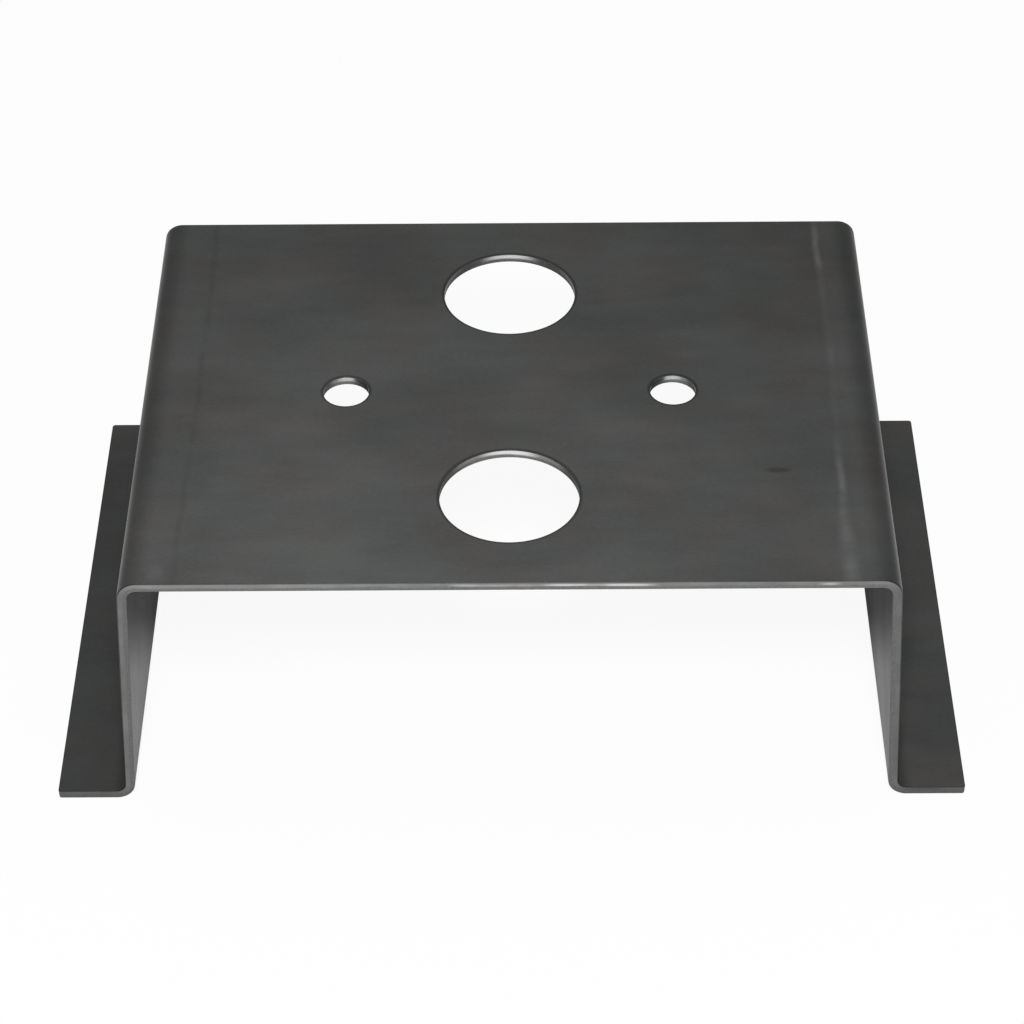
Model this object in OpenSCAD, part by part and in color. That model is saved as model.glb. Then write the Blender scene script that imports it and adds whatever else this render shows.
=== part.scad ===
// Tail light bracket: a hat section folded from one strip of steel sheet.
// The origin is the centre of the footprint, at the height of the flange undersides.
// X runs across the legs, Y runs to the back and Z runs up to the lamp plate.

/* [Sheet] */
// Thickness of the sheet
sheet_t = 1.5; // [1:0.1:2.5]
// Inside radius of all four bends
bend_r = 1.5; // [0.5:0.1:4]
// Width of the broken corners along the sheared edges and at the rims of the holes
edge_break = 0.2; // [0.1:0.05:0.4]

/* [Folded shape] */
// Width of the lamp plate, between the lines where its top would meet the outsides of the legs
plate_w = 114.3; // [100:0.1:150]
// Depth of the strip from front to back
depth = 88.9; // [80:0.1:120]
// Height from the flange undersides to the top of the lamp plate
height = 44.4; // [30:0.1:80]
// Distance by which the foot of each leg stands outwards of its top
leg_lean = 2.27; // [0:0.01:6]
// Width of a flange, from the line where its top would meet the outside of the leg to its tip
flange_w = 10.4; // [8:0.1:30]

/* [Holes] */
// Distance between the two stud holes, left to right
stud_spacing = 50.8; // [46:0.1:70]
// Diameter of a stud hole
stud_hole_d = 7.1; // [5:0.1:10]
// Distance between the two wire holes, front to back
wire_spacing = 50; // [44:0.1:56]
// Diameter of a wire hole
wire_hole_d = 21; // [12:0.1:22]

/* [Hidden] */
$fn = 96;
// Angle of a bend, its radius at the middle of the sheet, and a size that covers its ring
bend_angle = 90 - atan(leg_lean / (height - sheet_t));
bend_mid_r = bend_r + sheet_t / 2;
ring_reach = 2 * (bend_r + sheet_t);
// Lengths of the flat stretches between the bends
plate_flat = plate_w - 2 * (bend_r + sheet_t) * tan(bend_angle / 2);
bend_drop = bend_mid_r * (1 - cos(bend_angle));
leg_flat = (height - sheet_t - 2 * bend_drop) / sin(bend_angle);
flange_flat = flange_w - bend_r * tan(bend_angle / 2);

// Outline through the sheet up to a sheared edge at distance x, seen along the edge.
// Its corners are cut back for a way of -1, and flare out past the edge for a way of 1.
function edge_outline(x, way) =
    let (wall = sheet_t / 2 - edge_break, far_x = x + way * (sheet_t - wall))
    [[0, -sheet_t], [far_x, -sheet_t], [x, -wall], [x, wall], [far_x, sheet_t], [0, sheet_t]];

// Section across the strip, from front to back, with its sheared corners broken
module sheet_section() {
    x = depth / 2;
    y = sheet_t / 2;
    inner_x = x - edge_break;
    inner_y = y - edge_break;
    polygon([
        [inner_x, -y], [x, -inner_y], [x, inner_y], [inner_x, y],
        [-inner_x, y], [-x, inner_y], [-x, -inner_y], [-inner_x, -y]
    ]);
}

// A flat stretch of the strip along +X, followed by the rest of the strip
module flat(length) {
    rotate([90, 0, 90])
        linear_extrude(length)
            sheet_section();
    translate([length, 0, 0])
        children();
}

// A bend of the strip, downwards for a positive angle, followed by the rest of the strip.
// It is a quarter ring, cut off where the next stretch begins.
module bend(angle) {
    way = sign(angle);
    translate([0, 0, -way * bend_mid_r]) {
        intersection() {
            rotate([way > 0 ? 0 : 180, 0, 0])
                rotate([0, -90, -90])
                    rotate_extrude(angle = 90)
                        translate([bend_mid_r, 0])
                            rotate(90)
                                sheet_section();
            rotate([0, angle, 0])
                translate([-ring_reach / 2, 0, 0])
                    cube([ring_reach, 2 * depth, 2 * ring_reach], center = true);
        }
        rotate([0, angle, 0])
            translate([0, 0, way * bend_mid_r])
                children();
    }
}

// The last flat stretch of the strip, up to its sheared tip
module tip(length) {
    intersection() {
        flat(length);
        rotate([90, 0, 0])
            linear_extrude(2 * depth, center = true)
                polygon(edge_outline(length, -1));
    }
}

// Half of the folded strip, walked from the middle of the plate out to the tip of a flange
module half_strip() {
    flat(plate_flat / 2)
        bend(bend_angle)
            flat(leg_flat)
                bend(-bend_angle)
                    tip(flange_flat);
}

// A punched hole through the sheet, with both rims broken
module punched_hole(d) {
    rotate_extrude()
        polygon(edge_outline(d / 2, 1));
}

module bracket() {
    color("dimgray")
        translate([0, 0, height - sheet_t / 2])
            difference() {
                for (turn = [0, 180])
                    rotate([0, 0, turn])
                        half_strip();
                for (side = [-1, 1]) {
                    translate([side * stud_spacing / 2, 0, 0])
                        punched_hole(stud_hole_d);
                    translate([0, side * wire_spacing / 2, 0])
                        punched_hole(wire_hole_d);
                }
            }
}

bracket();
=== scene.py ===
import math

import bpy
from mathutils import Matrix, Vector
from mathutils.geometry import delaunay_2d_cdt


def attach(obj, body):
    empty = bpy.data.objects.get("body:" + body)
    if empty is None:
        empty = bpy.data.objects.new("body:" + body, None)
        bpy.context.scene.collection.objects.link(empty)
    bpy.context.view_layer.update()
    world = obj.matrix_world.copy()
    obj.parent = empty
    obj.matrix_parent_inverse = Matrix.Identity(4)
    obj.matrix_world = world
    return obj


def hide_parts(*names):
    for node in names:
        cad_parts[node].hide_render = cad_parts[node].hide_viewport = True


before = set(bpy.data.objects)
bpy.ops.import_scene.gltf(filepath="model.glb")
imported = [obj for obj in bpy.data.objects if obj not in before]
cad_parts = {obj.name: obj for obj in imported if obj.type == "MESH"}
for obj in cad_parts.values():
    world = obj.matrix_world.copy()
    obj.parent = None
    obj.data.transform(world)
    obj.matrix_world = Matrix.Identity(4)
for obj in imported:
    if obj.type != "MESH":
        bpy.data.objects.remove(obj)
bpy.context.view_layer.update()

# Sizes of the folded strip in millimetres, as in the part's source
SHEET, BEND_R = 1.5, 1.5
PLATE_W, DEPTH, HEIGHT = 114.3, 88.9, 44.4
LEG_LEAN, FLANGE_W = 2.27, 10.4
STUD_SPACING, STUD_HOLE_D = 50.8, 7.1
WIRE_SPACING, WIRE_HOLE_D = 50.0, 21.0
MM = 0.001

# Lengths along the flat strip, from the middle of the plate, at which each stretch ends
BEND_ANGLE = math.pi / 2 - math.atan(LEG_LEAN / (HEIGHT - SHEET))
MID_R = BEND_R + SHEET / 2
ARC = MID_R * BEND_ANGLE
LEG_FLAT = (HEIGHT - SHEET - 2 * MID_R * (1 - math.cos(BEND_ANGLE))) / math.sin(BEND_ANGLE)
PLATE_END = PLATE_W / 2 - (BEND_R + SHEET) * math.tan(BEND_ANGLE / 2)
TOP_BEND_END = PLATE_END + ARC
LEG_END = TOP_BEND_END + LEG_FLAT
LOW_BEND_END = LEG_END + ARC
STRIP_END = LOW_BEND_END + FLANGE_W - BEND_R * math.tan(BEND_ANGLE / 2)

# Form of a sheared edge: rolled over at the top, torn back a little below, sharper underneath
ROLL_R, TEAR, BURR_R, CORNER_R = 0.22, 0.04, 0.1, 0.5

# Steps of the mesh, and how far its inner points stay from the edges and from the holes
PLATE_STEPS, BEND_STEPS, LEG_STEPS, FLANGE_STEPS = 14, 14, 10, 3
TIP_STEPS, CORNER_STEPS = 24, 6
ROLL_STEPS, BURR_STEPS = 5, 4
TEAR_SHARES = (0.3, 0.5, 0.7)
WIRE_HOLE_STEPS, STUD_HOLE_STEPS = 128, 72
FACE_STEPS, EDGE_MARGIN, HOLE_MARGIN = 22, 3.0, 1.3
SAME_PLACE = 1e-6

# Holes on the flat strip: place along and across it, diameter, and steps round the rim
HOLES = [
    (0.0, -WIRE_SPACING / 2, WIRE_HOLE_D, WIRE_HOLE_STEPS),
    (0.0, WIRE_SPACING / 2, WIRE_HOLE_D, WIRE_HOLE_STEPS),
    (-STUD_SPACING / 2, 0.0, STUD_HOLE_D, STUD_HOLE_STEPS),
    (STUD_SPACING / 2, 0.0, STUD_HOLE_D, STUD_HOLE_STEPS),
]

# Studio, in metres and watts
WORLD_STRENGTH = 0.35
FLOOR_HALF, FLOOR_DROP, FLOOR_LEVEL = 4.0, 0.0001, 0.9
GLOW_FOR_CAMERA, GLOW_FOR_MIRROR = 0.93, 0.05
KEY_AT, KEY_AIM = (0.0, -0.494, 0.608), (0.0, 0.0, 0.03)
KEY_SIZE, KEY_WATTS = 0.15, 4.7

# Camera, in degrees, millimetres and metres
YAW, PITCH, ROLL = -0.387, 40.993, -0.566
LENS_MM, SENSOR_MM = 111.84, 36.0
CAMERA_AT = (0.00281, -0.38587, 0.35469)
CAMERA_NEAR = 0.01

# Grey levels of the cut edges, and their tones on a leg and from leg to flange
SHEARED_LEVELS, TORN_LEVELS = (0.205, 0.26), (0.155, 0.215)
RUBBED_LEVEL, WALL_LEVEL = 0.72, 0.27
# painted highlight on the front and back walls of the small and large holes
STUD_WALL_HIGHLIGHT, WIRE_WALL_HIGHLIGHT = 0.58, 0.8
SHEARED_TONES, TORN_TONES = (0.7, 0.72), (0.86, 0.78)
# painted light on the cut edges: lighter on the left, darker on the right
PAINTED_SIDE_LIGHT = (1.11, 0.94)

# Rubbed stretches of the front edge, as places along it
RUB_START, RUB_STRONGER, RUB_END = (-9.5, -7.5), (4.0, 7.5), (19.0, 22.5)
RUB_WEAK = 0.4
SIDE_RUB_AT, SIDE_RUB_W, SIDE_RUB = 46.5, 2.2, 0.6
FRONT_EDGE = (-42.0, -44.0)

# Mill scale: two tints; and the ends of the slow changes over the plate, which paint light from front to back
# and from side to side
COOL_SCALE, WARM_SCALE = (0.0735, 0.076, 0.076, 1.0), (0.0775, 0.076, 0.073, 1.0)
PLATE_SIDES = (-50.0, 50.0)
PLATE_FRONT_BACK = (-45.0, 45.0)
# painted shade: the flanges darker than the plate, the left one more
FLANGE_PAINTED_SHADES = (0.72, 0.81)
# painted light on the bends: shade on the top bends, a highlight line at their end, shade in the hollow of
# the low bends
TOP_BEND_PAINTED_SHADE, TOP_BEND_PAINTED_HIGHLIGHT, HOLLOW_PAINTED_SHADE = 0.38, 0.3, 0.45

# Press marks: distance from the middle of a bend, and strength where they carry a painted glint and elsewhere
MARK_RIGHT, MARK_LEFT = 5.6, 7.7
MARK_GLINT, MARK_FAINT, MARK_DULL = 0.6, 0.15, 0.13

# Smudges on the plate: place and half size
DARK_SMUDGE = (40.5, -19.5), (2.4, 0.8)
PALE_SMUDGE = (-51.5, -42.0), (1.6, 2.2)

# Range that most of a noise lies in
NOISE_RANGE = (0.3, 0.7)

# Numbers of a mix node's two inputs and its output, for colours and for plain numbers
MIX_SOCKETS = {"RGBA": (6, 7, 2), "FLOAT": (2, 3, 0)}


def heading(angle):
    return Vector((math.cos(angle), -math.sin(angle)))


def outward(angle):
    return Vector((math.sin(angle), math.cos(angle)))


def fold(along, through):
    """Folded place (x, z) of a point of the strip, with the angle that the strip has turned by there."""
    away = abs(along)
    top_centre = Vector((PLATE_END, HEIGHT - SHEET / 2 - MID_R))
    leg_start = top_centre + MID_R * outward(BEND_ANGLE)
    leg_end = leg_start + LEG_FLAT * heading(BEND_ANGLE)
    low_centre = leg_end + MID_R * outward(BEND_ANGLE)
    if away <= PLATE_END:
        angle = 0.0
        middle = Vector((away, HEIGHT - SHEET / 2))
    elif away <= TOP_BEND_END:
        angle = (away - PLATE_END) / MID_R
        middle = top_centre + MID_R * outward(angle)
    elif away <= LEG_END:
        angle = BEND_ANGLE
        middle = leg_start + (away - TOP_BEND_END) * heading(angle)
    elif away <= LOW_BEND_END:
        angle = BEND_ANGLE - (away - LEG_END) / MID_R
        middle = low_centre - MID_R * outward(angle)
    else:
        angle = 0.0
        middle = low_centre + Vector((away - LOW_BEND_END, -MID_R))
    place = middle + through * outward(angle)
    if along < 0:
        return -place.x, place.y, -angle
    return place.x, place.y, angle


def steps(start, end, count):
    return [start + (end - start) * k / count for k in range(count + 1)]


def lengths_along():
    """Lines across the strip, close together in the bends."""
    half = steps(0, PLATE_END, PLATE_STEPS)
    half += steps(PLATE_END, TOP_BEND_END, BEND_STEPS)[1:]
    half += steps(TOP_BEND_END, LEG_END, LEG_STEPS)[1:]
    half += steps(LEG_END, LOW_BEND_END, BEND_STEPS)[1:]
    half += steps(LOW_BEND_END, STRIP_END - 2 * CORNER_R, FLANGE_STEPS)[1:]
    return [-length for length in reversed(half[1:])] + half


def outline():
    """Outline of the flat strip: for each point a centre, a reach and the direction out of the sheet."""
    side = STRIP_END - CORNER_R
    front = DEPTH / 2 - CORNER_R
    lengths = lengths_along()
    widths = steps(CORNER_R - front, front - CORNER_R, TIP_STEPS)
    points = []

    def corner(centre, first):
        for turn in steps(first, first + math.pi / 2, CORNER_STEPS):
            points.append((centre, CORNER_R, (math.cos(turn), math.sin(turn))))

    points += [((along, -front), CORNER_R, (0.0, -1.0)) for along in lengths]
    corner((side, -front), -math.pi / 2)
    points += [((side, across), CORNER_R, (1.0, 0.0)) for across in widths]
    corner((side, front), 0.0)
    points += [((along, front), CORNER_R, (0.0, 1.0)) for along in reversed(lengths)]
    corner((-side, front), math.pi / 2)
    points += [((-side, across), CORNER_R, (-1.0, 0.0)) for across in reversed(widths)]
    corner((-side, -front), math.pi)
    return points


def hole(along, across, diameter, count):
    """Rim of a hole, as outline gives it: the direction out of the sheet points to the hole's middle."""
    points = []
    for k in range(count):
        turn = -2 * math.pi * k / count
        points.append(((along, across), -diameter / 2, (-math.cos(turn), -math.sin(turn))))
    return points


def edge_rows():
    """Rows down a sheared edge: inset from the outline, place through the sheet, the normal's two parts."""
    rows = []
    for turn in steps(math.pi / 2, 0, ROLL_STEPS):
        inset = ROLL_R * (1 - math.cos(turn))
        through = SHEET / 2 - ROLL_R * (1 - math.sin(turn))
        rows.append((inset, through, math.cos(turn), math.sin(turn)))
    for share in TEAR_SHARES:
        through = SHEET / 2 - ROLL_R - share * (SHEET - ROLL_R - BURR_R)
        rows.append((TEAR * share, through, 1.0, 0.0))
    for turn in steps(0, -math.pi / 2, BURR_STEPS):
        inset = TEAR + BURR_R * (1 - math.cos(turn))
        through = -SHEET / 2 + BURR_R * (1 + math.sin(turn))
        rows.append((inset, through, math.cos(turn), math.sin(turn)))
    return rows


def inner_points():
    """Points of a face of the sheet that lie clear of its edges and holes."""
    front = DEPTH / 2 - EDGE_MARGIN
    points = []
    for along in lengths_along():
        for across in steps(-front, front, FACE_STEPS):
            gaps = [math.hypot(along - h[0], across - h[1]) - h[2] / 2 for h in HOLES]
            if min(gaps) > HOLE_MARGIN:
                points.append((along, across))
    return points


class Surface:
    """Points of the flat strip with their normals, and the faces between them."""

    def __init__(self):
        self.flat, self.normals, self.faces = [], [], []

    def add(self, along, across, through, normal):
        self.flat.append((along, across, through))
        self.normals.append(normal)
        return len(self.flat) - 1

    def add_edge(self, points):
        """A sheared edge, as rings from the top of the sheet to its underside. Gives its two rims."""
        rings = []
        for inset, through, part_out, part_through in edge_rows():
            ring = []
            for (along, across), reach, (out_along, out_across) in points:
                distance = reach - inset
                normal = (part_out * out_along, part_out * out_across, part_through)
                place = along + distance * out_along, across + distance * out_across
                ring.append(self.add(*place, through, normal))
            rings.append(ring)
        for upper, lower in zip(rings, rings[1:]):
            for k in range(len(upper)):
                j = (k + 1) % len(upper)
                self.faces.append((upper[k], lower[k], lower[j], upper[j]))
        return rings[0], rings[-1]

    def fill(self, rims, side):
        """A face of the sheet between its rims, the first of which is the outline."""
        index, edges = [], []
        for rim in rims:
            first = len(index)
            index += rim
            edges += [(first + k, first + (k + 1) % len(rim)) for k in range(len(rim))]
        normal = (0.0, 0.0, float(side))
        index += [self.add(*place, side * SHEET / 2, normal) for place in inner_points()]
        places = [Vector(self.flat[i][:2]) for i in index]
        _, _, triangles, origin, _, _ = delaunay_2d_cdt(places, edges, [], 1, SAME_PLACE)
        hole_rims = [set(rim) for rim in rims[1:]]
        for triangle in triangles:
            corners = [index[origin[k][0]] for k in triangle]
            if not any(rim.issuperset(corners) for rim in hole_rims):
                self.faces.append(tuple(corners) if side > 0 else tuple(reversed(corners)))

    def folded(self):
        """Folded places and normals of the points, in metres."""
        places, turned = [], []
        for (along, across, through), parts in zip(self.flat, self.normals):
            x, z, angle = fold(along, through)
            places.append((x * MM, across * MM, z * MM))
            normal = parts[0] * heading(angle) + parts[2] * outward(angle)
            turned.append(Vector((normal.x, parts[1], normal.y)).normalized())
        return places, turned


def make_strip():
    """The folded strip as one closed mesh, with its flat place kept in the attribute sheet."""
    surface = Surface()
    loops = [outline()] + [hole(*h) for h in HOLES]
    top_rims, low_rims = zip(*[surface.add_edge(points) for points in loops])
    surface.fill(top_rims, 1)
    surface.fill(low_rims, -1)
    places, turned = surface.folded()
    mesh = bpy.data.meshes.new("bracket_sheet")
    mesh.from_pydata(places, [], surface.faces, shade_flat=False)
    flat_place = mesh.attributes.new("sheet", "FLOAT_VECTOR", "POINT")
    flat_place.data.foreach_set("vector", [c for place in surface.flat for c in place])
    mesh.normals_split_custom_set_from_vertices(turned)
    mesh.validate()
    strip = bpy.data.objects.new("bracket_sheet", mesh)
    bpy.context.collection.objects.link(strip)
    return strip


class Tree:
    """A node tree with short ways to add and join nodes."""

    def __init__(self, tree):
        tree.nodes.clear()
        self.nodes = tree.nodes
        self.links = tree.links

    def add(self, kind, inputs=None, **settings):
        node = self.nodes.new(kind)
        for name, value in settings.items():
            setattr(node, name, value)
        for name, value in (inputs or {}).items():
            self.feed(node.inputs[name], value)
        return node

    def feed(self, socket, value):
        if isinstance(value, bpy.types.NodeSocket):
            self.links.new(value, socket)
        else:
            socket.default_value = value

    def math(self, operation, *values):
        node = self.add("ShaderNodeMath", operation=operation)
        for socket, value in zip(node.inputs, values):
            self.feed(socket, value)
        return node.outputs[0]

    def product(self, first, *others):
        for value in others:
            first = self.math("MULTIPLY", first, value)
        return first

    def total(self, first, *others):
        for value in others:
            first = self.math("ADD", first, value)
        return first

    def less(self, value):
        """What is left of 1."""
        return self.math("SUBTRACT", 1.0, value)

    def ramp(self, value, low, high, to_low=0.0, to_high=1.0):
        node = self.add(
            "ShaderNodeMapRange",
            {"Value": value, "From Min": low, "From Max": high, "To Min": to_low, "To Max": to_high},
            interpolation_type="SMOOTHSTEP",
        )
        return node.outputs["Result"]

    def vary(self, noise, low, high):
        """A noise spread from low to high."""
        return self.ramp(noise, *NOISE_RANGE, low, high)

    def mix(self, factor, a, b, kind="RGBA", blend="MIX"):
        """Mix of two colours, or of two numbers where kind is FLOAT."""
        node = self.add("ShaderNodeMix", data_type=kind, blend_type=blend)
        first, second, result = MIX_SOCKETS[kind]
        self.feed(node.inputs["Factor"], factor)
        self.feed(node.inputs[first], a)
        self.feed(node.inputs[second], b)
        return node.outputs[result]

    def mix_value(self, factor, a, b):
        return self.mix(factor, a, b, "FLOAT")

    def grey(self, level):
        return self.add("ShaderNodeCombineColor", {0: level, 1: level, 2: level}).outputs[0]

    def noise(self, vector, size, detail=3.0, roughness=0.5, offset=(0.0, 0.0, 0.0)):
        """Noise from 0 to 1 whose lumps are about size millimetres long, wide and deep."""
        scale = tuple(1.0 / s for s in size)
        moved = self.add("ShaderNodeMapping", {"Vector": vector, "Scale": scale, "Location": offset})
        node = self.add(
            "ShaderNodeTexNoise",
            {"Vector": moved.outputs[0], "Scale": 1.0, "Detail": detail, "Roughness": roughness},
        )
        return node.outputs["Fac"]

    def line(self, value, at, width):
        """1 where value is at, falling to 0 at width on both sides."""
        away = self.math("ABSOLUTE", self.math("SUBTRACT", value, at))
        return self.ramp(away, 0.0, width, 1.0, 0.0)

    def apart(self, a, b, place, size=(1.0, 1.0)):
        """Distance of a and b from a place, each measured in its own size."""
        first = self.math("DIVIDE", self.math("SUBTRACT", a, place[0]), size[0])
        second = self.math("DIVIDE", self.math("SUBTRACT", b, place[1]), size[1])
        squares = self.math("MULTIPLY_ADD", first, first, self.math("MULTIPLY", second, second))
        return self.math("SQRT", squares)


def grey(level):
    return (level, level, level, 1.0)


def make_world():
    world = bpy.data.worlds.new("studio")
    world.use_nodes = True
    tree = Tree(world.node_tree)
    light = tree.add("ShaderNodeBackground", {"Color": grey(1.0), "Strength": WORLD_STRENGTH})
    tree.add("ShaderNodeOutputWorld", {"Surface": light.outputs[0]})
    bpy.context.scene.world = world


def make_paper():
    """White paper that glows for the camera, and a little in what the steel mirrors."""
    material = bpy.data.materials.new("floor_paper")
    material.use_nodes = True
    tree = Tree(material.node_tree)
    paper = tree.add("ShaderNodeBsdfDiffuse", {"Color": grey(FLOOR_LEVEL)})
    glow = tree.add("ShaderNodeEmission", {"Color": grey(1.0), "Strength": 1.0})
    path = tree.add("ShaderNodeLightPath").outputs
    mirrored = tree.math("MAXIMUM", path["Is Glossy Ray"], path["Is Transmission Ray"])
    for_camera = tree.product(path["Is Camera Ray"], GLOW_FOR_CAMERA)
    for_mirror = tree.product(mirrored, GLOW_FOR_MIRROR)
    share = tree.math("MAXIMUM", for_camera, for_mirror)
    both = tree.add("ShaderNodeMixShader", {0: share, 1: paper.outputs[0], 2: glow.outputs[0]})
    tree.add("ShaderNodeOutputMaterial", {"Surface": both.outputs[0]})
    return material


def make_floor():
    mesh = bpy.data.meshes.new("floor")
    half = FLOOR_HALF
    corners = [(-half, -half, 0), (half, -half, 0), (half, half, 0), (-half, half, 0)]
    mesh.from_pydata(corners, [], [(0, 1, 2, 3)])
    mesh.materials.append(make_paper())
    floor = bpy.data.objects.new("floor", mesh)
    floor.location.z = -FLOOR_DROP
    bpy.context.collection.objects.link(floor)


def make_key():
    light = bpy.data.lights.new("key", "AREA")
    light.shape = "DISK"
    light.size = KEY_SIZE
    light.energy = KEY_WATTS
    lamp = bpy.data.objects.new("key", light)
    lamp.location = KEY_AT
    aim = Vector(KEY_AIM) - Vector(KEY_AT)
    lamp.rotation_euler = aim.to_track_quat("-Z", "Y").to_euler()
    bpy.context.collection.objects.link(lamp)


def make_camera():
    data = bpy.data.cameras.new("camera")
    data.lens = LENS_MM
    data.sensor_width = SENSOR_MM
    data.clip_start = CAMERA_NEAR
    camera = bpy.data.objects.new("camera", data)
    turn = Matrix.Rotation(math.radians(-YAW), 4, "Z")
    tilt = Matrix.Rotation(math.radians(90 - PITCH), 4, "X")
    roll = Matrix.Rotation(math.radians(ROLL), 4, "Z")
    camera.matrix_world = Matrix.Translation(CAMERA_AT) @ turn @ tilt @ roll
    bpy.context.collection.objects.link(camera)
    bpy.context.scene.camera = camera


class Place:
    """Where a point lies on the flat strip, in millimetres, and how near it is to a cut."""

    def __init__(self, tree):
        self.flat = tree.add("ShaderNodeAttribute", attribute_name="sheet").outputs["Vector"]
        axes = tree.add("ShaderNodeSeparateXYZ", {0: self.flat}).outputs
        self.along, self.across, self.through = axes["X"], axes["Y"], axes["Z"]
        self.away = tree.math("ABSOLUTE", self.along)
        self.aside = tree.math("ABSOLUTE", self.across)
        to_wire = tree.apart(self.away, self.aside, (0.0, WIRE_SPACING / 2))
        to_stud = tree.apart(self.away, self.aside, (STUD_SPACING / 2, 0.0))
        from_wire = tree.math("SUBTRACT", to_wire, WIRE_HOLE_D / 2)
        self.from_stud = tree.math("SUBTRACT", to_stud, STUD_HOLE_D / 2)
        self.from_hole = tree.math("MINIMUM", from_wire, self.from_stud)
        self.under_top = tree.math("SUBTRACT", SHEET / 2, self.through)
        over_low = tree.math("ADD", SHEET / 2, self.through)
        self.cut = tree.product(tree.ramp(self.under_top, 0.08, 0.2), tree.ramp(over_low, 0.0, 0.05))
        self.on_flange = tree.ramp(self.away, LEG_END, LOW_BEND_END)
        self.off_plate = tree.ramp(self.away, PLATE_END, TOP_BEND_END)


def rubbed_edge(tree, place, polish):
    """Where the plate's front edge is rubbed bright: a long stretch in the middle, a short one aside."""
    middle = tree.product(
        tree.ramp(place.along, *RUB_START),
        tree.ramp(place.along, *RUB_STRONGER, RUB_WEAK, 1.0),
        tree.ramp(place.along, *RUB_END, 1.0, 0.0),
    )
    side = tree.product(tree.line(place.along, SIDE_RUB_AT, SIDE_RUB_W), SIDE_RUB)
    return tree.product(
        tree.math("MAXIMUM", middle, side),
        tree.ramp(place.across, *FRONT_EDGE),
        tree.line(place.through, 0.15, 0.4),
        tree.ramp(polish, 0.35, 0.6, 0.5, 1.0),
    )


def hole_wall_level(tree, place):
    """Grey level of the walls of the holes, with a painted highlight on the walls at the front and the back.
    """
    at_wire = tree.ramp(place.from_stud, 2.0, 3.0)
    from_wire = tree.math("ABSOLUTE", tree.math("SUBTRACT", place.aside, WIRE_SPACING / 2))
    across_wire = tree.math("DIVIDE", from_wire, WIRE_HOLE_D / 2)
    across_stud = tree.math("DIVIDE", place.aside, STUD_HOLE_D / 2)
    wall_highlight = tree.ramp(tree.mix_value(at_wire, across_stud, across_wire), 0.88, 1.0)
    highlight_level = tree.ramp(at_wire, 0.0, 1.0, STUD_WALL_HIGHLIGHT, WIRE_WALL_HIGHLIGHT)
    return tree.mix_value(wall_highlight, WALL_LEVEL, highlight_level)


def edge_tone(tree, place, tones):
    """1 on the plate, the first tone on the legs and both tones together on the flanges."""
    on_leg, to_flange = tones
    return tree.product(
        tree.mix_value(place.off_plate, 1.0, on_leg),
        tree.mix_value(place.on_flange, 1.0, to_flange),
    )


def cut_edges(tree, place):
    """Cut edges, sheared smooth in the upper half and torn below: grey level, smooth share and torn grain."""
    tear_line = tree.vary(tree.noise(place.flat, (7.0, 7.0, 7.0), 2.0), -0.1, 0.1)
    smooth = tree.ramp(tree.total(place.through, tear_line), -0.25, 0.15)
    polish = tree.noise(place.flat, (5.0, 5.0, 40.0), 3.0)
    sheared = tree.product(
        tree.vary(polish, *SHEARED_LEVELS),
        edge_tone(tree, place, SHEARED_TONES),
        # painted light: cut edges lighter on the left than on the right
        tree.ramp(place.along, *PLATE_SIDES, *PAINTED_SIDE_LIGHT),
    )
    sheared = tree.mix_value(rubbed_edge(tree, place, polish), sheared, RUBBED_LEVEL)
    in_hole = tree.ramp(place.from_hole, 0.4, 0.8, 1.0, 0.0)
    sheared = tree.mix_value(in_hole, sheared, hole_wall_level(tree, place))
    torn_grain = tree.noise(place.flat, (0.5, 0.5, 0.15), 3.0)
    torn = tree.product(tree.vary(torn_grain, *TORN_LEVELS), edge_tone(tree, place, TORN_TONES))
    return tree.mix_value(smooth, torn, sheared), smooth, torn_grain


def painted_plate_light_and_tone(tree, place):
    """Slow changes of the plate's shade: painted light from front to back and from side to side, with a pale
    strip and a darker right side.
    """
    # painted light: lighter at the front of the plate, darker at the back
    front_to_back = tree.ramp(place.across, *PLATE_FRONT_BACK, 0.11, -0.16)
    # painted light: lighter on the left of the plate, most of all near the front
    side_to_side = tree.product(
        tree.ramp(place.along, *PLATE_SIDES, 1.0, -1.0),
        tree.ramp(place.across, -44.0, -28.0, 0.11, 0.03),
    )
    pale_strip = tree.product(
        tree.ramp(place.along, 49.5, 51.0),
        tree.ramp(place.across, -14.0, 2.0),
        0.09,
    )
    right_side = tree.ramp(place.along, 15.0, 45.0, 0.0, -0.07)
    changes = tree.total(front_to_back, side_to_side, pale_strip, right_side)
    return tree.total(tree.product(changes, tree.less(place.off_plate)), 1.0)


def bends(tree, place):
    """Painted light on the bends: painted shade on the top bends, a painted highlight line at their end, and
    painted shade in the hollow of the low bends.
    """
    start = tree.ramp(place.away, PLATE_END - 2.0, PLATE_END + 1.5)
    end = tree.ramp(place.away, TOP_BEND_END - 1.2, TOP_BEND_END + 1.0, 1.0, 0.0)
    # painted shade on the top bends
    dark = tree.product(start, end, -TOP_BEND_PAINTED_SHADE)
    bend_highlight = tree.product(tree.line(place.away, TOP_BEND_END - 0.6, 0.8), TOP_BEND_PAINTED_HIGHLIGHT)
    hollow = tree.line(place.away, (LEG_END + LOW_BEND_END) / 2, ARC * 0.8)
    hollow_shade = tree.product(hollow, tree.ramp(place.through, 0.3, 0.7, 0.0, HOLLOW_PAINTED_SHADE))
    return tree.product(tree.total(bend_highlight, dark, 1.0), tree.less(hollow_shade))


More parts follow.
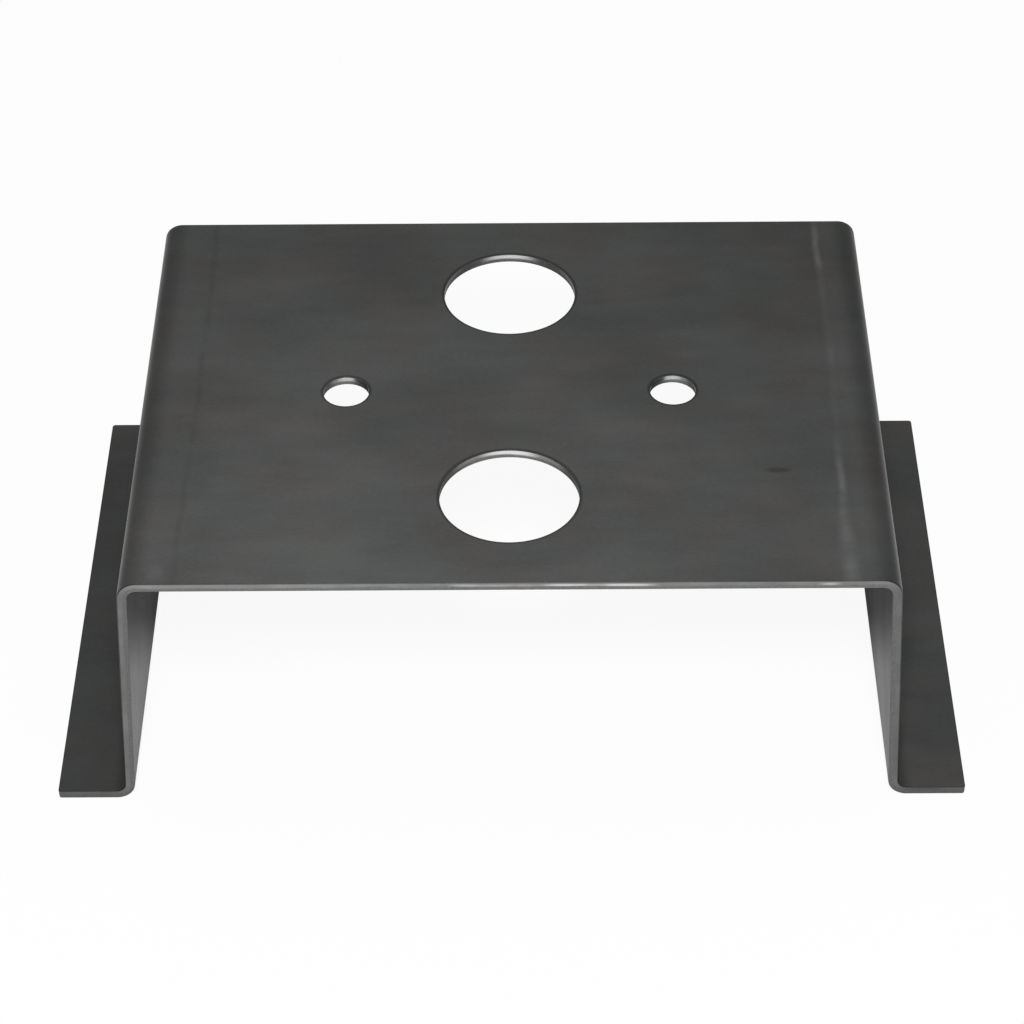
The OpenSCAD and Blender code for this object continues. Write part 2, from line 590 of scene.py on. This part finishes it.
def press_marks(tree, place):
    """Lines that the press left beside the bends, pale on the right with painted glints towards the back and
    front, and dull on the left: shade and depth.
    """
    bend_middle = PLATE_END + ARC / 2
    wobble = tree.ramp(tree.noise(place.flat, (30.0, 12.0, 30.0), 2.0), 0.25, 0.75, -0.25, 0.25)
    bow = tree.ramp(place.across, 10.0, -35.0, 0.0, 0.7)
    marked = tree.total(place.along, wobble, bow)
    right_w = tree.ramp(place.across, -24.0, -40.0, 0.9, 2.0)
    right = tree.line(marked, bend_middle - MARK_RIGHT, right_w)
    left = tree.line(marked, MARK_LEFT - bend_middle, 0.8)
    patches = tree.noise(place.flat, (40.0, 6.0, 40.0), 3.0, 0.6, (0.0, 2.0, 5.0))
    fade = tree.ramp(patches, 0.35, 0.65, 0.3, 1.0)
    at_back = tree.ramp(place.across, 26.0, 36.0)
    at_front = tree.ramp(place.across, -12.0, -18.0)
    # painted glint: the pale right line brighter towards the back and the front of the plate
    glint = tree.ramp(tree.math("MAXIMUM", at_back, at_front), 0.0, 1.0, MARK_FAINT, MARK_GLINT)
    shade = tree.total(tree.product(right, fade, glint), tree.product(left, fade, -MARK_DULL))
    return shade, tree.total(right, left)


def smudges(tree, place):
    """A dark smudge and a pale one on the top of the plate."""
    to_dark = tree.apart(place.along, place.across, *DARK_SMUDGE)
    to_pale = tree.apart(place.along, place.across, *PALE_SMUDGE)
    both = tree.total(tree.ramp(to_dark, 0.3, 1.2, -0.3, 0.0), tree.ramp(to_pale, 0.2, 1.2, 0.22, 0.0))
    return tree.product(both, tree.ramp(place.through, 0.6, 0.7))


def dark_rims(tree, place):
    """Painted shade: dark lines round the holes, and where the sheet rolls over into its cut edges."""
    rolled = tree.product(tree.ramp(place.under_top, 0.0, 0.03), tree.ramp(place.through, -0.1, 0.1), 0.55)
    ringed = tree.ramp(place.from_hole, 0.25, 0.6, 0.45, 0.0)
    return tree.math("MAXIMUM", rolled, ringed)


def make_steel():
    """Sheet steel with dark mill scale and brighter cut edges."""
    material = bpy.data.materials.new("mill_steel")
    material.use_nodes = True
    tree = Tree(material.node_tree)
    place = Place(tree)
    cut_level, smooth, torn_grain = cut_edges(tree, place)
    mark_shade, mark_depth = press_marks(tree, place)

    # Mill scale: soft clouds, faint wisps along the strip and a fine grain
    clouds = tree.noise(place.flat, (26.0, 20.0, 40.0), 3.0, 0.5, (25.6, 14.9, 21.9))
    wisps = tree.noise(place.flat, (14.0, 4.5, 8.0), 4.0, 0.6, (3.1, 7.7, 0.0))
    grain = tree.noise(place.flat, (0.8, 0.4, 0.8), 2.0)
    tint = tree.noise(place.flat, (13.0, 12.0, 30.0), 2.0, 0.5, (11.0, 4.0, 2.0))
    mottle = tree.total(
        tree.vary(clouds, 0.89, 1.11),
        tree.vary(wisps, -0.05, 0.05),
        tree.ramp(grain, 0.25, 0.75, -0.05, 0.05),
    )
    # painted shade: darker flanges
    flange_painted_shade = tree.ramp(place.along, -LEG_END, LEG_END, *FLANGE_PAINTED_SHADES)
    # the shade holds painted light: the plate's falloff, painted shade on the flanges and bends, a painted
    # highlight line on the top bends
    shade = tree.product(
        mottle,
        painted_plate_light_and_tone(tree, place),
        tree.mix_value(place.on_flange, 1.0, flange_painted_shade),
        bends(tree, place),
    )
    shade = tree.total(shade, mark_shade, smudges(tree, place))
    shade = tree.product(shade, tree.less(dark_rims(tree, place)))
    scale_colour = tree.mix(tree.ramp(tint, 0.35, 0.65), COOL_SCALE, WARM_SCALE)
    scale_colour = tree.mix(1.0, scale_colour, tree.grey(shade), blend="MULTIPLY")

    # Colour, roughness and relief of the scale and of the cut edges together
    colour = tree.mix(place.cut, scale_colour, tree.grey(cut_level))
    scale_rough = tree.ramp(tree.total(tree.product(grain, 0.4), clouds), 0.4, 1.0, 0.34, 0.27)
    cut_rough = tree.mix_value(smooth, 0.5, 0.25)
    relief = tree.total(
        tree.product(grain, 0.25),
        tree.product(wisps, 0.3),
        tree.product(torn_grain, place.cut, 0.6),
        tree.product(mark_depth, -0.3),
    )
    bump = tree.add("ShaderNodeBump", {"Strength": 0.25, "Distance": 0.00004, "Height": relief})
    shader = tree.add(
        "ShaderNodeBsdfPrincipled",
        {
            "Base Color": colour,
            "Metallic": tree.ramp(place.cut, 0.0, 1.0, 0.1, 0.85),
            "Roughness": tree.mix_value(place.cut, scale_rough, cut_rough),
            "Specular IOR Level": 0.08,
            "Normal": bump.outputs[0],
        },
    )
    tree.add("ShaderNodeOutputMaterial", {"Surface": shader.outputs[0]})
    return material


make_world()
make_floor()
make_key()
make_camera()

piece = make_strip()
piece.data.materials.append(make_steel())
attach(piece, "root")
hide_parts("bracket")

bpy.context.scene.view_settings.view_transform = "Standard"
